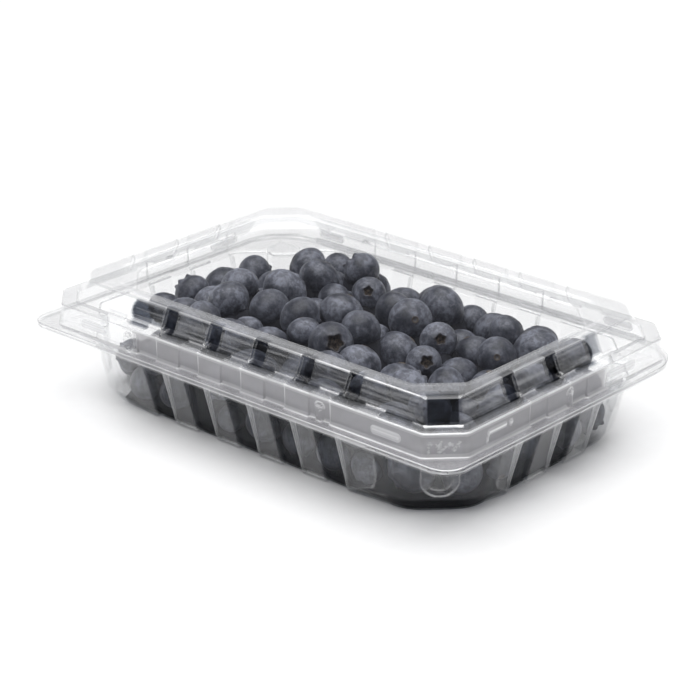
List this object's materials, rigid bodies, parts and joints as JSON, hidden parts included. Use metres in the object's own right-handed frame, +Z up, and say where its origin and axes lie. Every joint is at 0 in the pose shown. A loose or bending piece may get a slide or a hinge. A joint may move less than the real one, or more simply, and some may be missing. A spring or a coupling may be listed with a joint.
{
  "type": "clear hinged punnet of blueberries",
  "caption": "Clear fluted plastic clamshell punnet heaped with blueberries, with a ridged lid on a living hinge along its long back edge.",
  "frame": {"origin": "on the ground, under the middle of the closed punnet", "axes": "+X along the long side, +Y towards the hinged back edge, +Z up; the lid opens towards +Y"},
  "size_m": [0.187, 0.127, 0.0416],
  "materials": {
    "clear_plastic": "clear thin thermoformed film, glossy",
    "berry_skin": "dark blue skin with a pale waxy bloom"
  },
  "bodies": {
    "base": {"tray": "clear_plastic", "berries": "berry_skin"},
    "cover": {"lid": "clear_plastic"}
  },
  "joints": [
    {"name": "lid_hinge", "type": "hinge", "parent": "base", "child": "cover", "pos_m": [0, 0.0635, 0.0252], "axis": [-1, 0, 0], "range_deg": [0, 180]}
  ]
}
